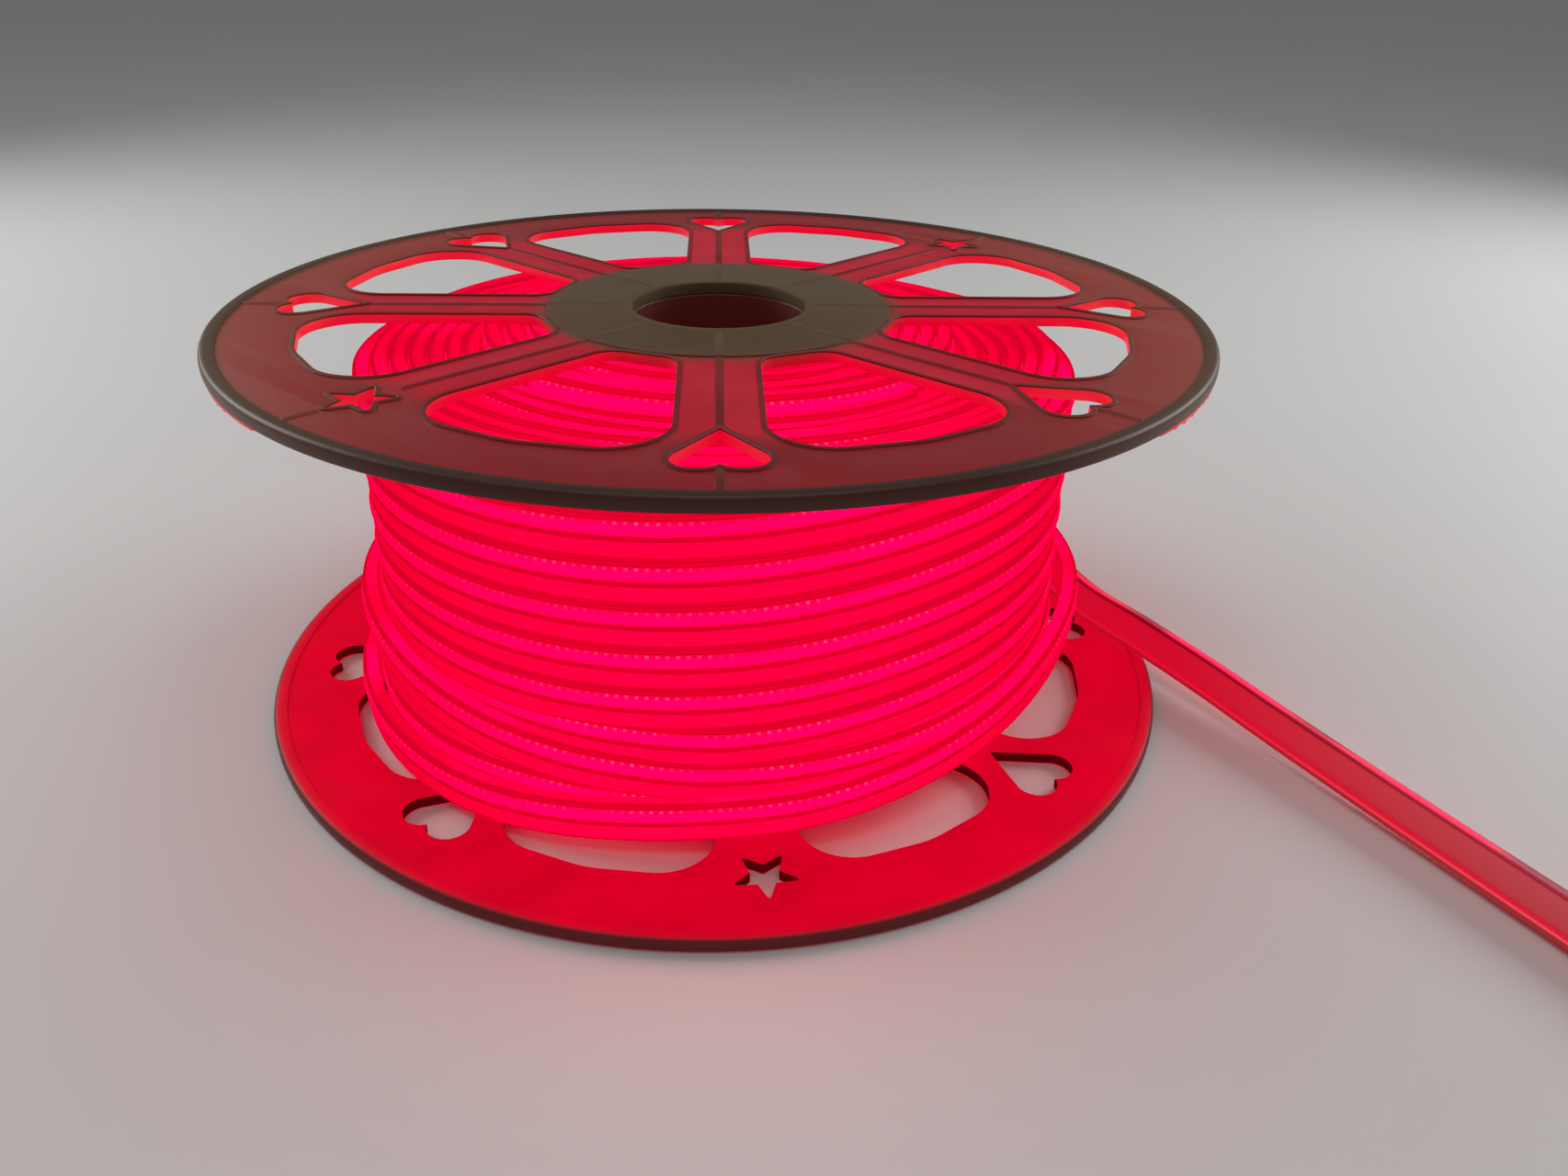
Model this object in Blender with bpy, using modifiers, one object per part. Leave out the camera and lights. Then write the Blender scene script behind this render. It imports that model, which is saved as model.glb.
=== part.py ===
"""Red COB LED strip light, wound on a plastic reel that lies on its lower flange.

Two spoked flanges hold a hub core between them, the strip is wound on the core,
and its free end lies on the floor beside the reel. The origin is on the floor,
on the reel's axis, and +Z runs up along that axis. Lengths are in metres.
"""

import math

import bpy
import bmesh
from mathutils import Matrix, Vector

MM = 0.001

# Reel flanges
FLANGE_RADIUS = 145.0 * MM
FLANGE_WEB = 2.8 * MM
RIM_HEIGHT = 4.4 * MM
RIM_WIDTH = 4.5 * MM
RIM_CHAMFER = 1.26 * MM
REEL_HEIGHT = 121.8 * MM
BORE_RADIUS = 26.0 * MM
COLLAR_WIDTH = 3.0 * MM
HUB_DISC_RADIUS = 51.5 * MM
HUB_DISC_RECESS = 0.2 * MM

# Openings in each flange
SPOKES = 8
SPOKE_WIDTH = 22.0 * MM
WINDOW_INNER_RADIUS = 54.0 * MM
WINDOW_RIM_INSET = 23.5 * MM
WINDOW_INNER_CORNER = 7.0 * MM
WINDOW_OUTER_CORNER = 15.0 * MM
HEART_RIM_INSET = 28.0 * MM
HEART_WIDTH = 22.0 * MM
HEART_LENGTH = 24.0 * MM
HEART_LOBE = 6.0 * MM
STAR_RIM_INSET = 24.0 * MM
STAR_RADIUS = 9.5 * MM
STAR_WAIST = 0.42
STAR_SPOKES = (2, 6)
LOWER_TURN_DEG = 5.3
UPPER_TURN_DEG = -45.0

# Hub core
CORE_RADIUS = 50.0 * MM
CORE_WALL = 2.5 * MM
SLEEVE_WALL = 2.5 * MM
CORE_WEB = 2.0 * MM
CORE_WEBS = 4

# Strip and its winding
STRIP_WIDTH = 12.0 * MM
STRIP_THICKNESS = 5.0 * MM
STRIP_CORNER = 1.2 * MM
TURNS = 9
LAYERS = 11
WINDING_RADIUS = 107.5 * MM
HIGH_LAYERS = 4
TOP_STEP = 4.4 * MM
TOP_CLEARANCE = 1.9 * MM
LOOSE_TURNS = 3
LOOSE_LAYER = 5.2 * MM
TURN_GROOVE = 2.2 * MM
TURN_SHOULDER = 1.5 * MM
DOME_HEIGHT = 6.2 * MM
DOME_GROOVE = 1.3 * MM
BAND_INSET = 0.5 * MM
BAND_SHOULDER = 0.8 * MM
LAYER_GROOVE = 1.0 * MM

# End cap on the free end
CAP_LENGTH = 16.0 * MM
CAP_WALL = 1.0 * MM
CAP_BEVEL = 1.0 * MM

# Clearance between pieces that touch, and the distance that welds points
GAP = 0.3 * MM
WELD = 0.01 * MM

# Steps of the round shapes
FLANGE_STEPS = 64
WINDING_STEPS = 40
CORE_STEPS = 40
ARC_STEPS = 4
BEVEL_STEPS = 2
TAIL_POINTS = 60
LOOSE_POINTS = 136
ROUTE_STEPS = 40

# Colours
MILKY_COLOR = (0.62, 0.60, 0.55)
LIT_COLOR = (0.80, 0.02, 0.06)
GLOW_COLOR = (1.0, 0.0, 0.06)
CLEAR_COLOR = (0.72, 0.70, 0.68)

# Centreline of the last turns, which are loose: angle in degrees, mm outside the winding's
# radius, and height in parts of the loose turns' room, which is LOOSE_PARTS of them high
LOOSE_PARTS = 24.0
LOOSE_ROUTE = [
    (-38, -2.2, 23.7),
    (-90, -2.2, 23.6),
    (-180, -2.2, 22.1),
    (-270, -2.2, 19.3),
    (-360, -2.2, 14.3),
    (-398, -2.2, 11.3),
    (-450, -2.2, 11.1),
    (-470, -2.1, 10.8),
    (-485, 0.1, 10.7),
    (-500, 3.4, 12.4),
    (-523, 3.4, 23.6),
    (-545, 3.4, 26.7),
    (-580, 3.4, 27),
    (-630, 3.3, 27),
    (-680, 3.3, 27.1),
    (-718, 5.7, 27.1),
    (-737, 6.1, 26.7),
    (-752, 5.5, 22.6),
    (-775, 3.9, 13.5),
    (-810, 3.3, 3.7),
    (-850, 3.4, 0.7),
    (-876, 3.7, 0.5),
    (-905, 6.5, 2.9),
    (-940, 9.1, 12.1),
    (-980, 9.7, 21.6),
    (-1007.7, 8.6, 24.7),
]

# Centreline of the free end, from the winding over the lower flange to the cap
TAIL_ROUTE = [
    Vector((0.0359, 0.1104, 0.0346)),
    Vector((0.0545, 0.1025, 0.0346)),
    Vector((0.0715, 0.0915, 0.0345)),
    Vector((0.0863, 0.0777, 0.0340)),
    Vector((0.0974, 0.0632, 0.0318)),
    Vector((0.1127, 0.0386, 0.0218)),
    Vector((0.1274, 0.0136, 0.0124)),
    Vector((0.1417, -0.0118, 0.0109)),
    Vector((0.1554, -0.0375, 0.0097)),
    Vector((0.1687, -0.0634, 0.0080)),
    Vector((0.1881, -0.1027, 0.0066)),
    Vector((0.2069, -0.1423, 0.0062)),
    Vector((0.2194, -0.1688, 0.0062)),
    Vector((0.2340, -0.2000, 0.0062)),
]


def clear_scene():
    """Start from an empty scene."""
    for obj in list(bpy.data.objects):
        bpy.data.objects.remove(obj, do_unlink=True)


def collection(name):
    """Make a collection in the scene."""
    group = bpy.data.collections.new(name)
    bpy.context.scene.collection.children.link(group)
    return group


def material(name, color, roughness, emission=None, strength=0.0):
    """Make a plain material for one kind of surface."""
    mat = bpy.data.materials.new(name)
    mat.use_nodes = True
    shader = mat.node_tree.nodes["Principled BSDF"]
    shader.inputs["Base Color"].default_value = (*color, 1.0)
    shader.inputs["Roughness"].default_value = roughness
    shader.inputs["Metallic"].default_value = 0.0
    if emission:
        shader.inputs["Emission Color"].default_value = (*emission, 1.0)
        shader.inputs["Emission Strength"].default_value = strength
    return mat


def add_object(name, data, group, mat=None):
    """Put a mesh or curve into the scene as a named object."""
    obj = bpy.data.objects.new(name, data)
    group.objects.link(obj)
    if mat:
        data.materials.append(mat)
    return obj


def smooth(obj, angle=35.0):
    """Shade the faces smooth and keep edges above the angle sharp."""
    obj.data.shade_smooth()
    obj.data.set_sharp_from_angle(angle=math.radians(angle))


def polar(radius, angle, z=0.0):
    """Point at a radius and an angle about the reel's axis."""
    return Vector((radius * math.cos(angle), radius * math.sin(angle), z))


def turned(name, profile, steps, group, mat=None):
    """Turn a closed profile of (radius, z) points about the reel's axis."""
    mesh = bpy.data.meshes.new(name)
    count = len(profile)
    points = [(r, 0.0, z) for r, z in profile]
    edges = [(i, (i + 1) % count) for i in range(count)]
    mesh.from_pydata(points, edges, [])
    obj = add_object(name, mesh, group)
    screw = obj.modifiers.new("Turn", "SCREW")
    screw.axis = "Z"
    screw.angle = math.tau
    screw.steps = steps
    screw.render_steps = steps
    screw.use_merge_vertices = True
    screw.merge_threshold = WELD
    screw.use_smooth_shade = True
    bake(obj)
    if mat:
        obj.data.materials.append(mat)
    smooth(obj)
    return obj


def bake(obj):
    """Replace an object's mesh with its evaluated one and drop the modifiers."""
    graph = bpy.context.evaluated_depsgraph_get()
    mesh = bpy.data.meshes.new_from_object(obj.evaluated_get(graph))
    obj.modifiers.clear()
    obj.data = mesh


def extruded(name, outlines, thickness, middle_z, group):
    """Extrude closed outlines into one mesh about a middle height."""
    curve = bpy.data.curves.new(name, "CURVE")
    curve.dimensions = "2D"
    curve.fill_mode = "BOTH"
    curve.extrude = thickness / 2
    for outline in outlines:
        spline = curve.splines.new("POLY")
        spline.points.add(len(outline) - 1)
        for point, place in zip(spline.points, outline):
            point.co = (place.x, place.y, 0.0, 1.0)
        spline.use_cyclic_u = True
    drawing = add_object(name, curve, group)
    drawing.location.z = middle_z
    graph = bpy.context.evaluated_depsgraph_get()
    graph.update()
    mesh = bpy.data.meshes.new_from_object(drawing.evaluated_get(graph))
    mesh.transform(Matrix.Translation((0.0, 0.0, middle_z)))
    bpy.data.objects.remove(drawing)
    weld(mesh)
    return add_object(name, mesh, group)


def weld(mesh):
    """Weld loose caps to their walls."""
    shape = bmesh.new()
    shape.from_mesh(mesh)
    bmesh.ops.remove_doubles(shape, verts=shape.verts, dist=WELD)
    bmesh.ops.recalc_face_normals(shape, faces=shape.faces)
    shape.to_mesh(mesh)
    shape.free()


def rounded(corners, radii):
    """Round a closed outline's corners with arcs of the given radii."""
    outline = []
    count = len(corners)
    for i, (corner, radius) in enumerate(zip(corners, radii)):
        back = (corners[i - 1] - corner).normalized()
        ahead = (corners[(i + 1) % count] - corner).normalized()
        half = back.angle(ahead) / 2
        middle = corner + (back + ahead).normalized() * (radius / math.sin(half))
        start = corner + back * (radius / math.tan(half)) - middle
        end = corner + ahead * (radius / math.tan(half)) - middle
        turn = math.atan2(start.cross(end).z, start.dot(end))
        for step in range(ARC_STEPS + 1):
            spin = Matrix.Rotation(turn * step / ARC_STEPS, 3, "Z")
            outline.append(middle + spin @ start)
    return outline


def window_outline(angle):
    """Window between two spokes, with its middle at the angle."""
    half_pitch = math.pi / SPOKES
    half_spoke = SPOKE_WIDTH / 2
    reach = FLANGE_RADIUS - WINDOW_RIM_INSET

    def corner(radius, side):
        across = side * (half_pitch - math.asin(half_spoke / radius))
        return polar(radius, angle + across)

    middle = polar(reach, angle)
    corners = [
        corner(WINDOW_INNER_RADIUS, -1),
        corner(reach, -1),
        middle,
        corner(reach, 1),
        corner(WINDOW_INNER_RADIUS, 1),
    ]
    radii = [
        WINDOW_INNER_CORNER,
        WINDOW_OUTER_CORNER,
        2 * WINDOW_OUTER_CORNER,
        WINDOW_OUTER_CORNER,
        WINDOW_INNER_CORNER,
    ]
    return rounded(corners, radii)


def heart_outline(angle):
    """Heart on a spoke's outer end, with its tip towards the hub."""
    out = polar(1.0, angle)
    across = polar(1.0, angle + math.pi / 2)
    middle = HEART_WIDTH / 2 - HEART_LOBE
    tip = HEART_LENGTH - HEART_LOBE
    below = math.atan2(middle, tip) + math.asin(HEART_LOBE / math.hypot(middle, tip))
    meet = math.pi - math.acos(middle / HEART_LOBE)
    steps = 2 * ARC_STEPS
    right = []
    for step in range(steps + 1):
        turn = (meet + below) * step / steps - below
        right.append((middle + HEART_LOBE * math.cos(turn), HEART_LOBE * math.sin(turn)))
    left = [(-x, y) for x, y in reversed(right[:-1])]
    outline = right + left + [(0.0, -tip)]
    shift = FLANGE_RADIUS - HEART_RIM_INSET + HEART_LENGTH / 2 - HEART_LOBE
    return [across * x + out * (y + shift) for x, y in outline]


def star_outline(angle):
    """Five-pointed star on a spoke's outer end, one point facing the rim."""
    centre = polar(FLANGE_RADIUS - STAR_RIM_INSET, angle)
    outline = []
    for k in range(10):
        radius = STAR_RADIUS if k % 2 == 0 else STAR_RADIUS * STAR_WAIST
        outline.append(centre + polar(radius, angle + math.tau * k / 10))
    return outline


def flange_profile():
    """Half section of a flange that lies with its outer face down."""
    web_low = (RIM_HEIGHT - FLANGE_WEB) / 2
    web_top = web_low + FLANGE_WEB
    rim_in = FLANGE_RADIUS - RIM_WIDTH
    collar = BORE_RADIUS + COLLAR_WIDTH
    return [
        (BORE_RADIUS, web_top),
        (rim_in, web_top),
        (rim_in + RIM_CHAMFER / 2, RIM_HEIGHT),
        (FLANGE_RADIUS - RIM_CHAMFER, RIM_HEIGHT),
        (FLANGE_RADIUS - RIM_CHAMFER / 4, RIM_HEIGHT - RIM_CHAMFER / 2),
        (FLANGE_RADIUS, RIM_HEIGHT / 2),
        (FLANGE_RADIUS - RIM_CHAMFER / 4, RIM_CHAMFER / 2),
        (FLANGE_RADIUS - RIM_CHAMFER, 0.0),
        (rim_in + RIM_CHAMFER / 2, 0.0),
        (rim_in, web_low),
        (HUB_DISC_RADIUS + web_low, web_low),
        (HUB_DISC_RADIUS, HUB_DISC_RECESS),
        (collar + HUB_DISC_RECESS, HUB_DISC_RECESS),
        (collar, 0.0),
        (BORE_RADIUS, 0.0),
    ]


def flange(name, turn_deg, upside_down, parts, cutters, mat):
    """One moulded flange with its spokes, windows, hearts and stars."""
    disc = turned(name, flange_profile(), FLANGE_STEPS, parts, mat)
    pitch = math.tau / SPOKES
    outlines = []
    for k in range(SPOKES):
        outlines.append(window_outline((k + 0.5) * pitch))
        cut = star_outline if k in STAR_SPOKES else heart_outline
        outlines.append(cut(k * pitch))
    tool = extruded(name + "_cutter", outlines, 3 * RIM_HEIGHT, RIM_HEIGHT / 2, cutters)
    tool.hide_render = True
    tool.display_type = "WIRE"
    cut = disc.modifiers.new("Openings", "BOOLEAN")
    cut.operation = "DIFFERENCE"
    cut.solver = "EXACT"
    cut.object = tool
    bake(disc)
    place = Matrix.Rotation(math.radians(turn_deg), 4, "Z")
    if upside_down:
        flip = Matrix.Rotation(math.pi, 4, "X")
        place = Matrix.Translation((0.0, 0.0, REEL_HEIGHT)) @ place @ flip
    disc.data.transform(place)
    tool.data.transform(place)
    smooth(disc)
    return disc


def circle(radius, steps, angle=0.0):
    """Closed outline of a circle."""
    return [polar(radius, angle + math.tau * k / steps) for k in range(steps)]


def flange_inner_face():
    """Height of the lower flange's face under the winding."""
    return (RIM_HEIGHT + FLANGE_WEB) / 2


def hub_core(parts, mat):
    """Core between the flanges: barrel, spindle sleeve and the webs that join them."""
    low = flange_inner_face() + GAP
    high = REEL_HEIGHT - low
    outlines = [circle(CORE_RADIUS, CORE_STEPS), circle(BORE_RADIUS, CORE_STEPS)]
    outer = CORE_RADIUS - CORE_WALL
    inner = BORE_RADIUS + SLEEVE_WALL
    steps = CORE_STEPS // CORE_WEBS - 2
    for k in range(CORE_WEBS):
        middle = math.tau * (k + 0.5) / CORE_WEBS
        pocket = []
        for radius, way in ((outer, 1), (inner, -1)):
            reach = math.pi / CORE_WEBS - math.asin(CORE_WEB / 2 / radius)
            for step in range(steps + 1):
                pocket.append(polar(radius, middle + way * reach * (2 * step / steps - 1)))
        outlines.append(pocket)
    core = extruded("hub_core", outlines, high - low, (low + high) / 2, parts)
    core.data.materials.append(mat)
    smooth(core)
    return core


def turn_face(radius, base, top):
    """Front of one turn of the strip: the dome over the chips, a groove and the flat band."""
    split = top - DOME_HEIGHT
    return [
        (radius - TURN_GROOVE, top),
        (radius, top - TURN_SHOULDER),
        (radius, split + TURN_SHOULDER),
        (radius - DOME_GROOVE, split),
        (radius - BAND_INSET, split - BAND_SHOULDER),
        (radius - BAND_INSET, base + BAND_SHOULDER),
    ]


def turn_pitch():
    """Height of one turn of the last layer."""
    room = REEL_HEIGHT - 2 * flange_inner_face() - GAP - TOP_CLEARANCE - TOP_STEP
    return room / TURNS


def winding_profile():
    """Half section of the wound strip, with its turns outside and layers on its ends.

    The first layers reach higher than the later ones, and the last layer stops short
    of the bottom, where the loose turns go on.
    """
    low = flange_inner_face() + GAP
    high = REEL_HEIGHT - flange_inner_face() - TOP_CLEARANCE
    pitch = turn_pitch()
    bore = CORE_RADIUS + GAP
    layer = (WINDING_RADIUS - bore) / LAYERS
    profile = []
    for k in range(LAYERS):
        top = high if k < HIGH_LAYERS else high - TOP_STEP
        profile.append((bore + k * layer, top - LAYER_GROOVE))
        profile.append((bore + (k + 0.5) * layer, top))
        if k == HIGH_LAYERS - 1:
            profile.append((bore + (k + 1) * layer, high - LAYER_GROOVE))
    for k in reversed(range(TURNS)):
        radius = WINDING_RADIUS - LOOSE_LAYER if k < LOOSE_TURNS else WINDING_RADIUS
        base = low + k * pitch
        profile += turn_face(radius, base, base + pitch)
        if k == LOOSE_TURNS:
            profile.append((radius - TURN_GROOVE, base))
    profile.append((WINDING_RADIUS - LOOSE_LAYER - TURN_GROOVE, low))
    for k in reversed(range(LAYERS - 1)):
        profile.append((bore + (k + 0.5) * layer, low))
        profile.append((bore + k * layer, low + LAYER_GROOVE))
    return profile


def strip_section(width, thickness, corner):
    """Rounded rectangle across the strip: thickness along X and width along Y."""
    x = thickness / 2
    y = width / 2
    corners = [Vector((-x, -y, 0)), Vector((x, -y, 0)), Vector((x, y, 0)), Vector((-x, y, 0))]
    return rounded_coarse(corners, corner)


def rounded_coarse(corners, cut):
    """Cut each corner of an outline once."""
    outline = []
    count = len(corners)
    for i, corner in enumerate(corners):
        back = (corners[i - 1] - corner).normalized()
        ahead = (corners[(i + 1) % count] - corner).normalized()
        outline.append(corner + back * cut)
        outline.append(corner + ahead * cut)
    return outline


def smooth_route(route, count):
    """Points along a smooth curve through the route's own points."""
    ends = [2 * route[0] - route[1]] + list(route) + [2 * route[-1] - route[-2]]
    fine = []
    for a, b, c, d in zip(ends, ends[1:], ends[2:], ends[3:]):
        for step in range(ROUTE_STEPS):
            t = step / ROUTE_STEPS
            near = 2 * b + (c - a) * t + (2 * a - 5 * b + 4 * c - d) * t * t
            fine.append(0.5 * (near + (3 * b - a - 3 * c + d) * t ** 3))
    fine.append(route[-1].copy())
    runs = [0.0]
    for a, b in zip(fine, fine[1:]):
        runs.append(runs[-1] + (b - a).length)
    points = []
    k = 0
    for step in range(count):
        goal = runs[-1] * step / (count - 1)
        while k < len(runs) - 2 and runs[k + 1] < goal:
            k += 1
        part = (goal - runs[k]) / (runs[k + 1] - runs[k])
        points.append(fine[k].lerp(fine[k + 1], part))
    return points


def loose_points():
    """Points along the loose turns, evenly spaced; their lowest place rests on the lower flange."""
    bottom = flange_inner_face() + GAP + STRIP_WIDTH / 2
    part = (LOOSE_TURNS * turn_pitch() - STRIP_WIDTH) / LOOSE_PARTS
    route = []
    for angle, out, height in LOOSE_ROUTE:
        along = math.radians(angle) * WINDING_RADIUS
        route.append(Vector((along, WINDING_RADIUS + out * MM, bottom + height * part)))
    points = smooth_route(route, LOOSE_POINTS)
    return [polar(point.y, point.x / WINDING_RADIUS, point.z) for point in points]


def strip_guide(cutters):
    """Section that the loose lengths of strip are swept from."""
    section = bpy.data.curves.new("strip_section", "CURVE")
    section.dimensions = "2D"
    outline = strip_section(STRIP_WIDTH, STRIP_THICKNESS, STRIP_CORNER)
    ring = section.splines.new("POLY")
    ring.points.add(len(outline) - 1)
    for point, place in zip(ring.points, reversed(outline)):
        point.co = (place.x, place.y, 0.0, 1.0)
    ring.use_cyclic_u = True
    guide = add_object("strip_section", section, cutters)
    guide.hide_render = True
    guide.display_type = "WIRE"
    return guide


def loose_strip(name, points, guide, parts, mat):
    """Length of strip that stands on its edge along some points."""
    curve = bpy.data.curves.new(name, "CURVE")
    curve.dimensions = "3D"
    curve.twist_mode = "Z_UP"
    curve.bevel_mode = "OBJECT"
    curve.bevel_object = guide
    curve.use_fill_caps = True
    spline = curve.splines.new("POLY")
    spline.points.add(len(points) - 1)
    for point, place in zip(spline.points, points):
        point.co = (*place, 1.0)
    return add_object(name, curve, parts, mat)


def tail_end_cap(parts, mat):
    """Moulded cap that closes the strip's free end."""
    last = TAIL_ROUTE[-1]
    along = (last - TAIL_ROUTE[-2]).normalized()
    mesh = bpy.data.meshes.new("tail_end_cap")
    shape = bmesh.new()
    bmesh.ops.create_cube(shape, size=1.0)
    size = (CAP_LENGTH, STRIP_THICKNESS + 2 * CAP_WALL, STRIP_WIDTH)
    bmesh.ops.scale(shape, vec=size, verts=shape.verts)
    bmesh.ops.bevel(
        shape, geom=shape.edges, offset=CAP_BEVEL, segments=BEVEL_STEPS, affect="EDGES", profile=0.5
    )
    shape.to_mesh(mesh)
    shape.free()
    cap = add_object("tail_end_cap", mesh, parts, mat)
    place = last + along * (CAP_LENGTH / 2 + GAP)
    cap.location = (place.x, place.y, last.z)
    cap.rotation_euler.z = math.atan2(along.y, along.x)
    smooth(cap)
    return cap


def build():
    """Make every piece."""
    clear_scene()
    parts = collection("led_strip_reel")
    cutters = collection("cutters")
    milky = material("milky_plastic", MILKY_COLOR, 0.42)
    red = material("lit_strip", LIT_COLOR, 0.35, GLOW_COLOR, 1.2)
    clear = material("cap_plastic", CLEAR_COLOR, 0.3)
    flange("lower_flange", LOWER_TURN_DEG, False, parts, cutters, milky)
    flange("upper_flange", UPPER_TURN_DEG, True, parts, cutters, milky)
    hub_core(parts, milky)
    turned("strip_winding", winding_profile(), WINDING_STEPS, parts, red)
    guide = strip_guide(cutters)
    loose_strip("strip_loose_turns", loose_points(), guide, parts, red)
    loose_strip("strip_tail", smooth_route(TAIL_ROUTE, TAIL_POINTS), guide, parts, red)
    tail_end_cap(parts, clear)


build()
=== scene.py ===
"""Looks of a lit red LED strip, wound on a spoked reel that lies on a pale floor.

The reel's axis is Z and its base is on the floor at the origin. Lengths are in
metres and angles run anticlockwise seen from above; the strip winds clockwise
towards its free end, so paths along it run with a falling angle.
"""

import math

import bpy
import numpy as np
from mathutils import Matrix


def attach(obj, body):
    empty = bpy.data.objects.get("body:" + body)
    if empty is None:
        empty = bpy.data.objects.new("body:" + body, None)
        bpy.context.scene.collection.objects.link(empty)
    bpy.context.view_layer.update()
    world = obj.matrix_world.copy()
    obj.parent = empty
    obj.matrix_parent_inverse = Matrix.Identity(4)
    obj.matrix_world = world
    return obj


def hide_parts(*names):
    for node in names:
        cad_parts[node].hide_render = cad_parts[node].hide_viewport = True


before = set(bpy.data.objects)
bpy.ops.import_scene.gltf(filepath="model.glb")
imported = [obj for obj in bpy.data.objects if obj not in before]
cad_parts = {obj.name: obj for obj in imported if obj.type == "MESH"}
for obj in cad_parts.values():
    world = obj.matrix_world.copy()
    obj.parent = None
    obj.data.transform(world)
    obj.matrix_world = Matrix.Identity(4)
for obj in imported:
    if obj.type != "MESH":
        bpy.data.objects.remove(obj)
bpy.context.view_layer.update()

MM = 0.001

# Reel
FLANGE_RADIUS = 145.0 * MM
FLANGE_WEB = 2.8 * MM
RIM_HEIGHT = 4.4 * MM
RIM_WIDTH = 4.5 * MM
REEL_HEIGHT = 121.8 * MM
BORE_RADIUS = 26.0 * MM
COLLAR_WIDTH = 3.0 * MM
HUB_DISC_RADIUS = 51.5 * MM
HUB_DISC_RECESS = 0.2 * MM
WEB_RECESS = (RIM_HEIGHT - FLANGE_WEB) / 2
LOWER_TURN = math.radians(5.3)
UPPER_TURN = math.radians(-45.0)

# Openings in each flange
SPOKES = 8
SPOKE_WIDTH = 22.0 * MM
WINDOW_INNER = 54.0 * MM
WINDOW_OUTER = 121.5 * MM
WINDOW_INNER_CORNER = 7.0 * MM
WINDOW_OUTER_CORNER = 15.0 * MM
HEART_CENTRE = 117.0 * MM
HEART_WIDTH = 22.0 * MM
HEART_LENGTH = 24.0 * MM
HEART_LOBE = 6.0 * MM
STAR_CENTRE = 121.0 * MM
STAR_RADIUS = 9.5 * MM
STAR_WAIST = 0.42
STAR_SPOKES = (2, 6)

# Flash under the upper rim: angles where it starts and ends, and its greatest depth
FLASH_SPANS = ((172, 222), (-44, -8))
FLASH_DEPTH = 1.5 * MM

# Raised mouldings on the outer faces
LIP_WIDTH = 1.6 * MM
LIP_HEIGHT = 0.5 * MM
RIB_WIDTH = 2.4 * MM
RIB_HEIGHT = 0.45 * MM

# Hub core
CORE_RADIUS = 50.0 * MM
CORE_WALL = 2.5 * MM
SLEEVE_WALL = 2.5 * MM
CORE_LOW = 3.9 * MM
CORE_WEB = 2.0 * MM
CORE_WEBS = 4

# Strip and its winding
STRIP_WIDTH = 12.0 * MM
STRIP_THICKNESS = 5.0 * MM
STRIP_GIRTH = 34.0 * MM
CHIP_PITCH = 2.6 * MM
LAYER = 5.2 * MM
FIRST_LAYER = 52.9 * MM
OUTER_LAYER = 105.0 * MM
HIGH_LAYERS = 4
LOW_LAYERS = 6
HIGH_TURN = 110.2 * MM
LOW_TURN = 105.8 * MM
TURN_PITCH = 12.15 * MM
FRONT_TOP_TURN = 106.8 * MM
BODY_INSET = 3.0 * MM

# Centreline of the free end, from the winding over the lower flange to the cap
TAIL_ROUTE = np.array([
    (0.0359, 0.1104, 0.0346),
    (0.0545, 0.1025, 0.0346),
    (0.0715, 0.0915, 0.0345),
    (0.0863, 0.0777, 0.0340),
    (0.0974, 0.0632, 0.0318),
    (0.1127, 0.0386, 0.0218),
    (0.1274, 0.0136, 0.0124),
    (0.1417, -0.0118, 0.0109),
    (0.1554, -0.0375, 0.0097),
    (0.1687, -0.0634, 0.0080),
    (0.1881, -0.1027, 0.0066),
    (0.2069, -0.1423, 0.0062),
    (0.2194, -0.1688, 0.0062),
    (0.2340, -0.2000, 0.0062),
])
LEAN = math.radians(17.0)
LEAN_STARTS = (0.05, 0.16)
LEAN_ENDS = (0.06, 0.01)
TAIL_FADE = (0.17, 0.36)

# Last turns of the strip, which are loose: angle in degrees, radius and height in mm
LOOSE_TURNS = np.array([
    (-90, 105.0, 33.9),
    (-110, 104.2, 33.9),
    (-130, 103.3, 33.5),
    (-180, 103.2, 32.8),
    (-270, 103.2, 31.9),
    (-340, 104.4, 30.4),
    (-360, 105.6, 29.6),
    (-380, 105.9, 28.2),
    (-400, 105.4, 26.4),
    (-420, 105.0, 24.4),
    (-450, 105.2, 23.3),
    (-462, 105.6, 24.0),
    (-474, 107.6, 26.2),
    (-486, 109.8, 29.6),
    (-500, 110.8, 33.4),
    (-518, 111.0, 36.8),
    (-540, 111.0, 37.2),
    (-630, 110.9, 36.9),
    (-680, 110.8, 37.0),
    (-718, 113.2, 37.0),
    (-737, 113.6, 36.6),
    (-752, 113.0, 32.0),
    (-775, 111.4, 22.6),
    (-795, 109.6, 15.8),
    (-810, 108.2, 13.0),
    (-822, 109.2, 11.6),
    (-834, 111.8, 10.6),
    (-846, 114.2, 10.1),
    (-862, 114.8, 10.0),
    (-882, 114.4, 10.4),
    (-905, 114.2, 13.0),
    (-940, 116.6, 22.0),
    (-980, 117.2, 31.5),
    (-1008, 116.1, 34.6),
])

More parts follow.
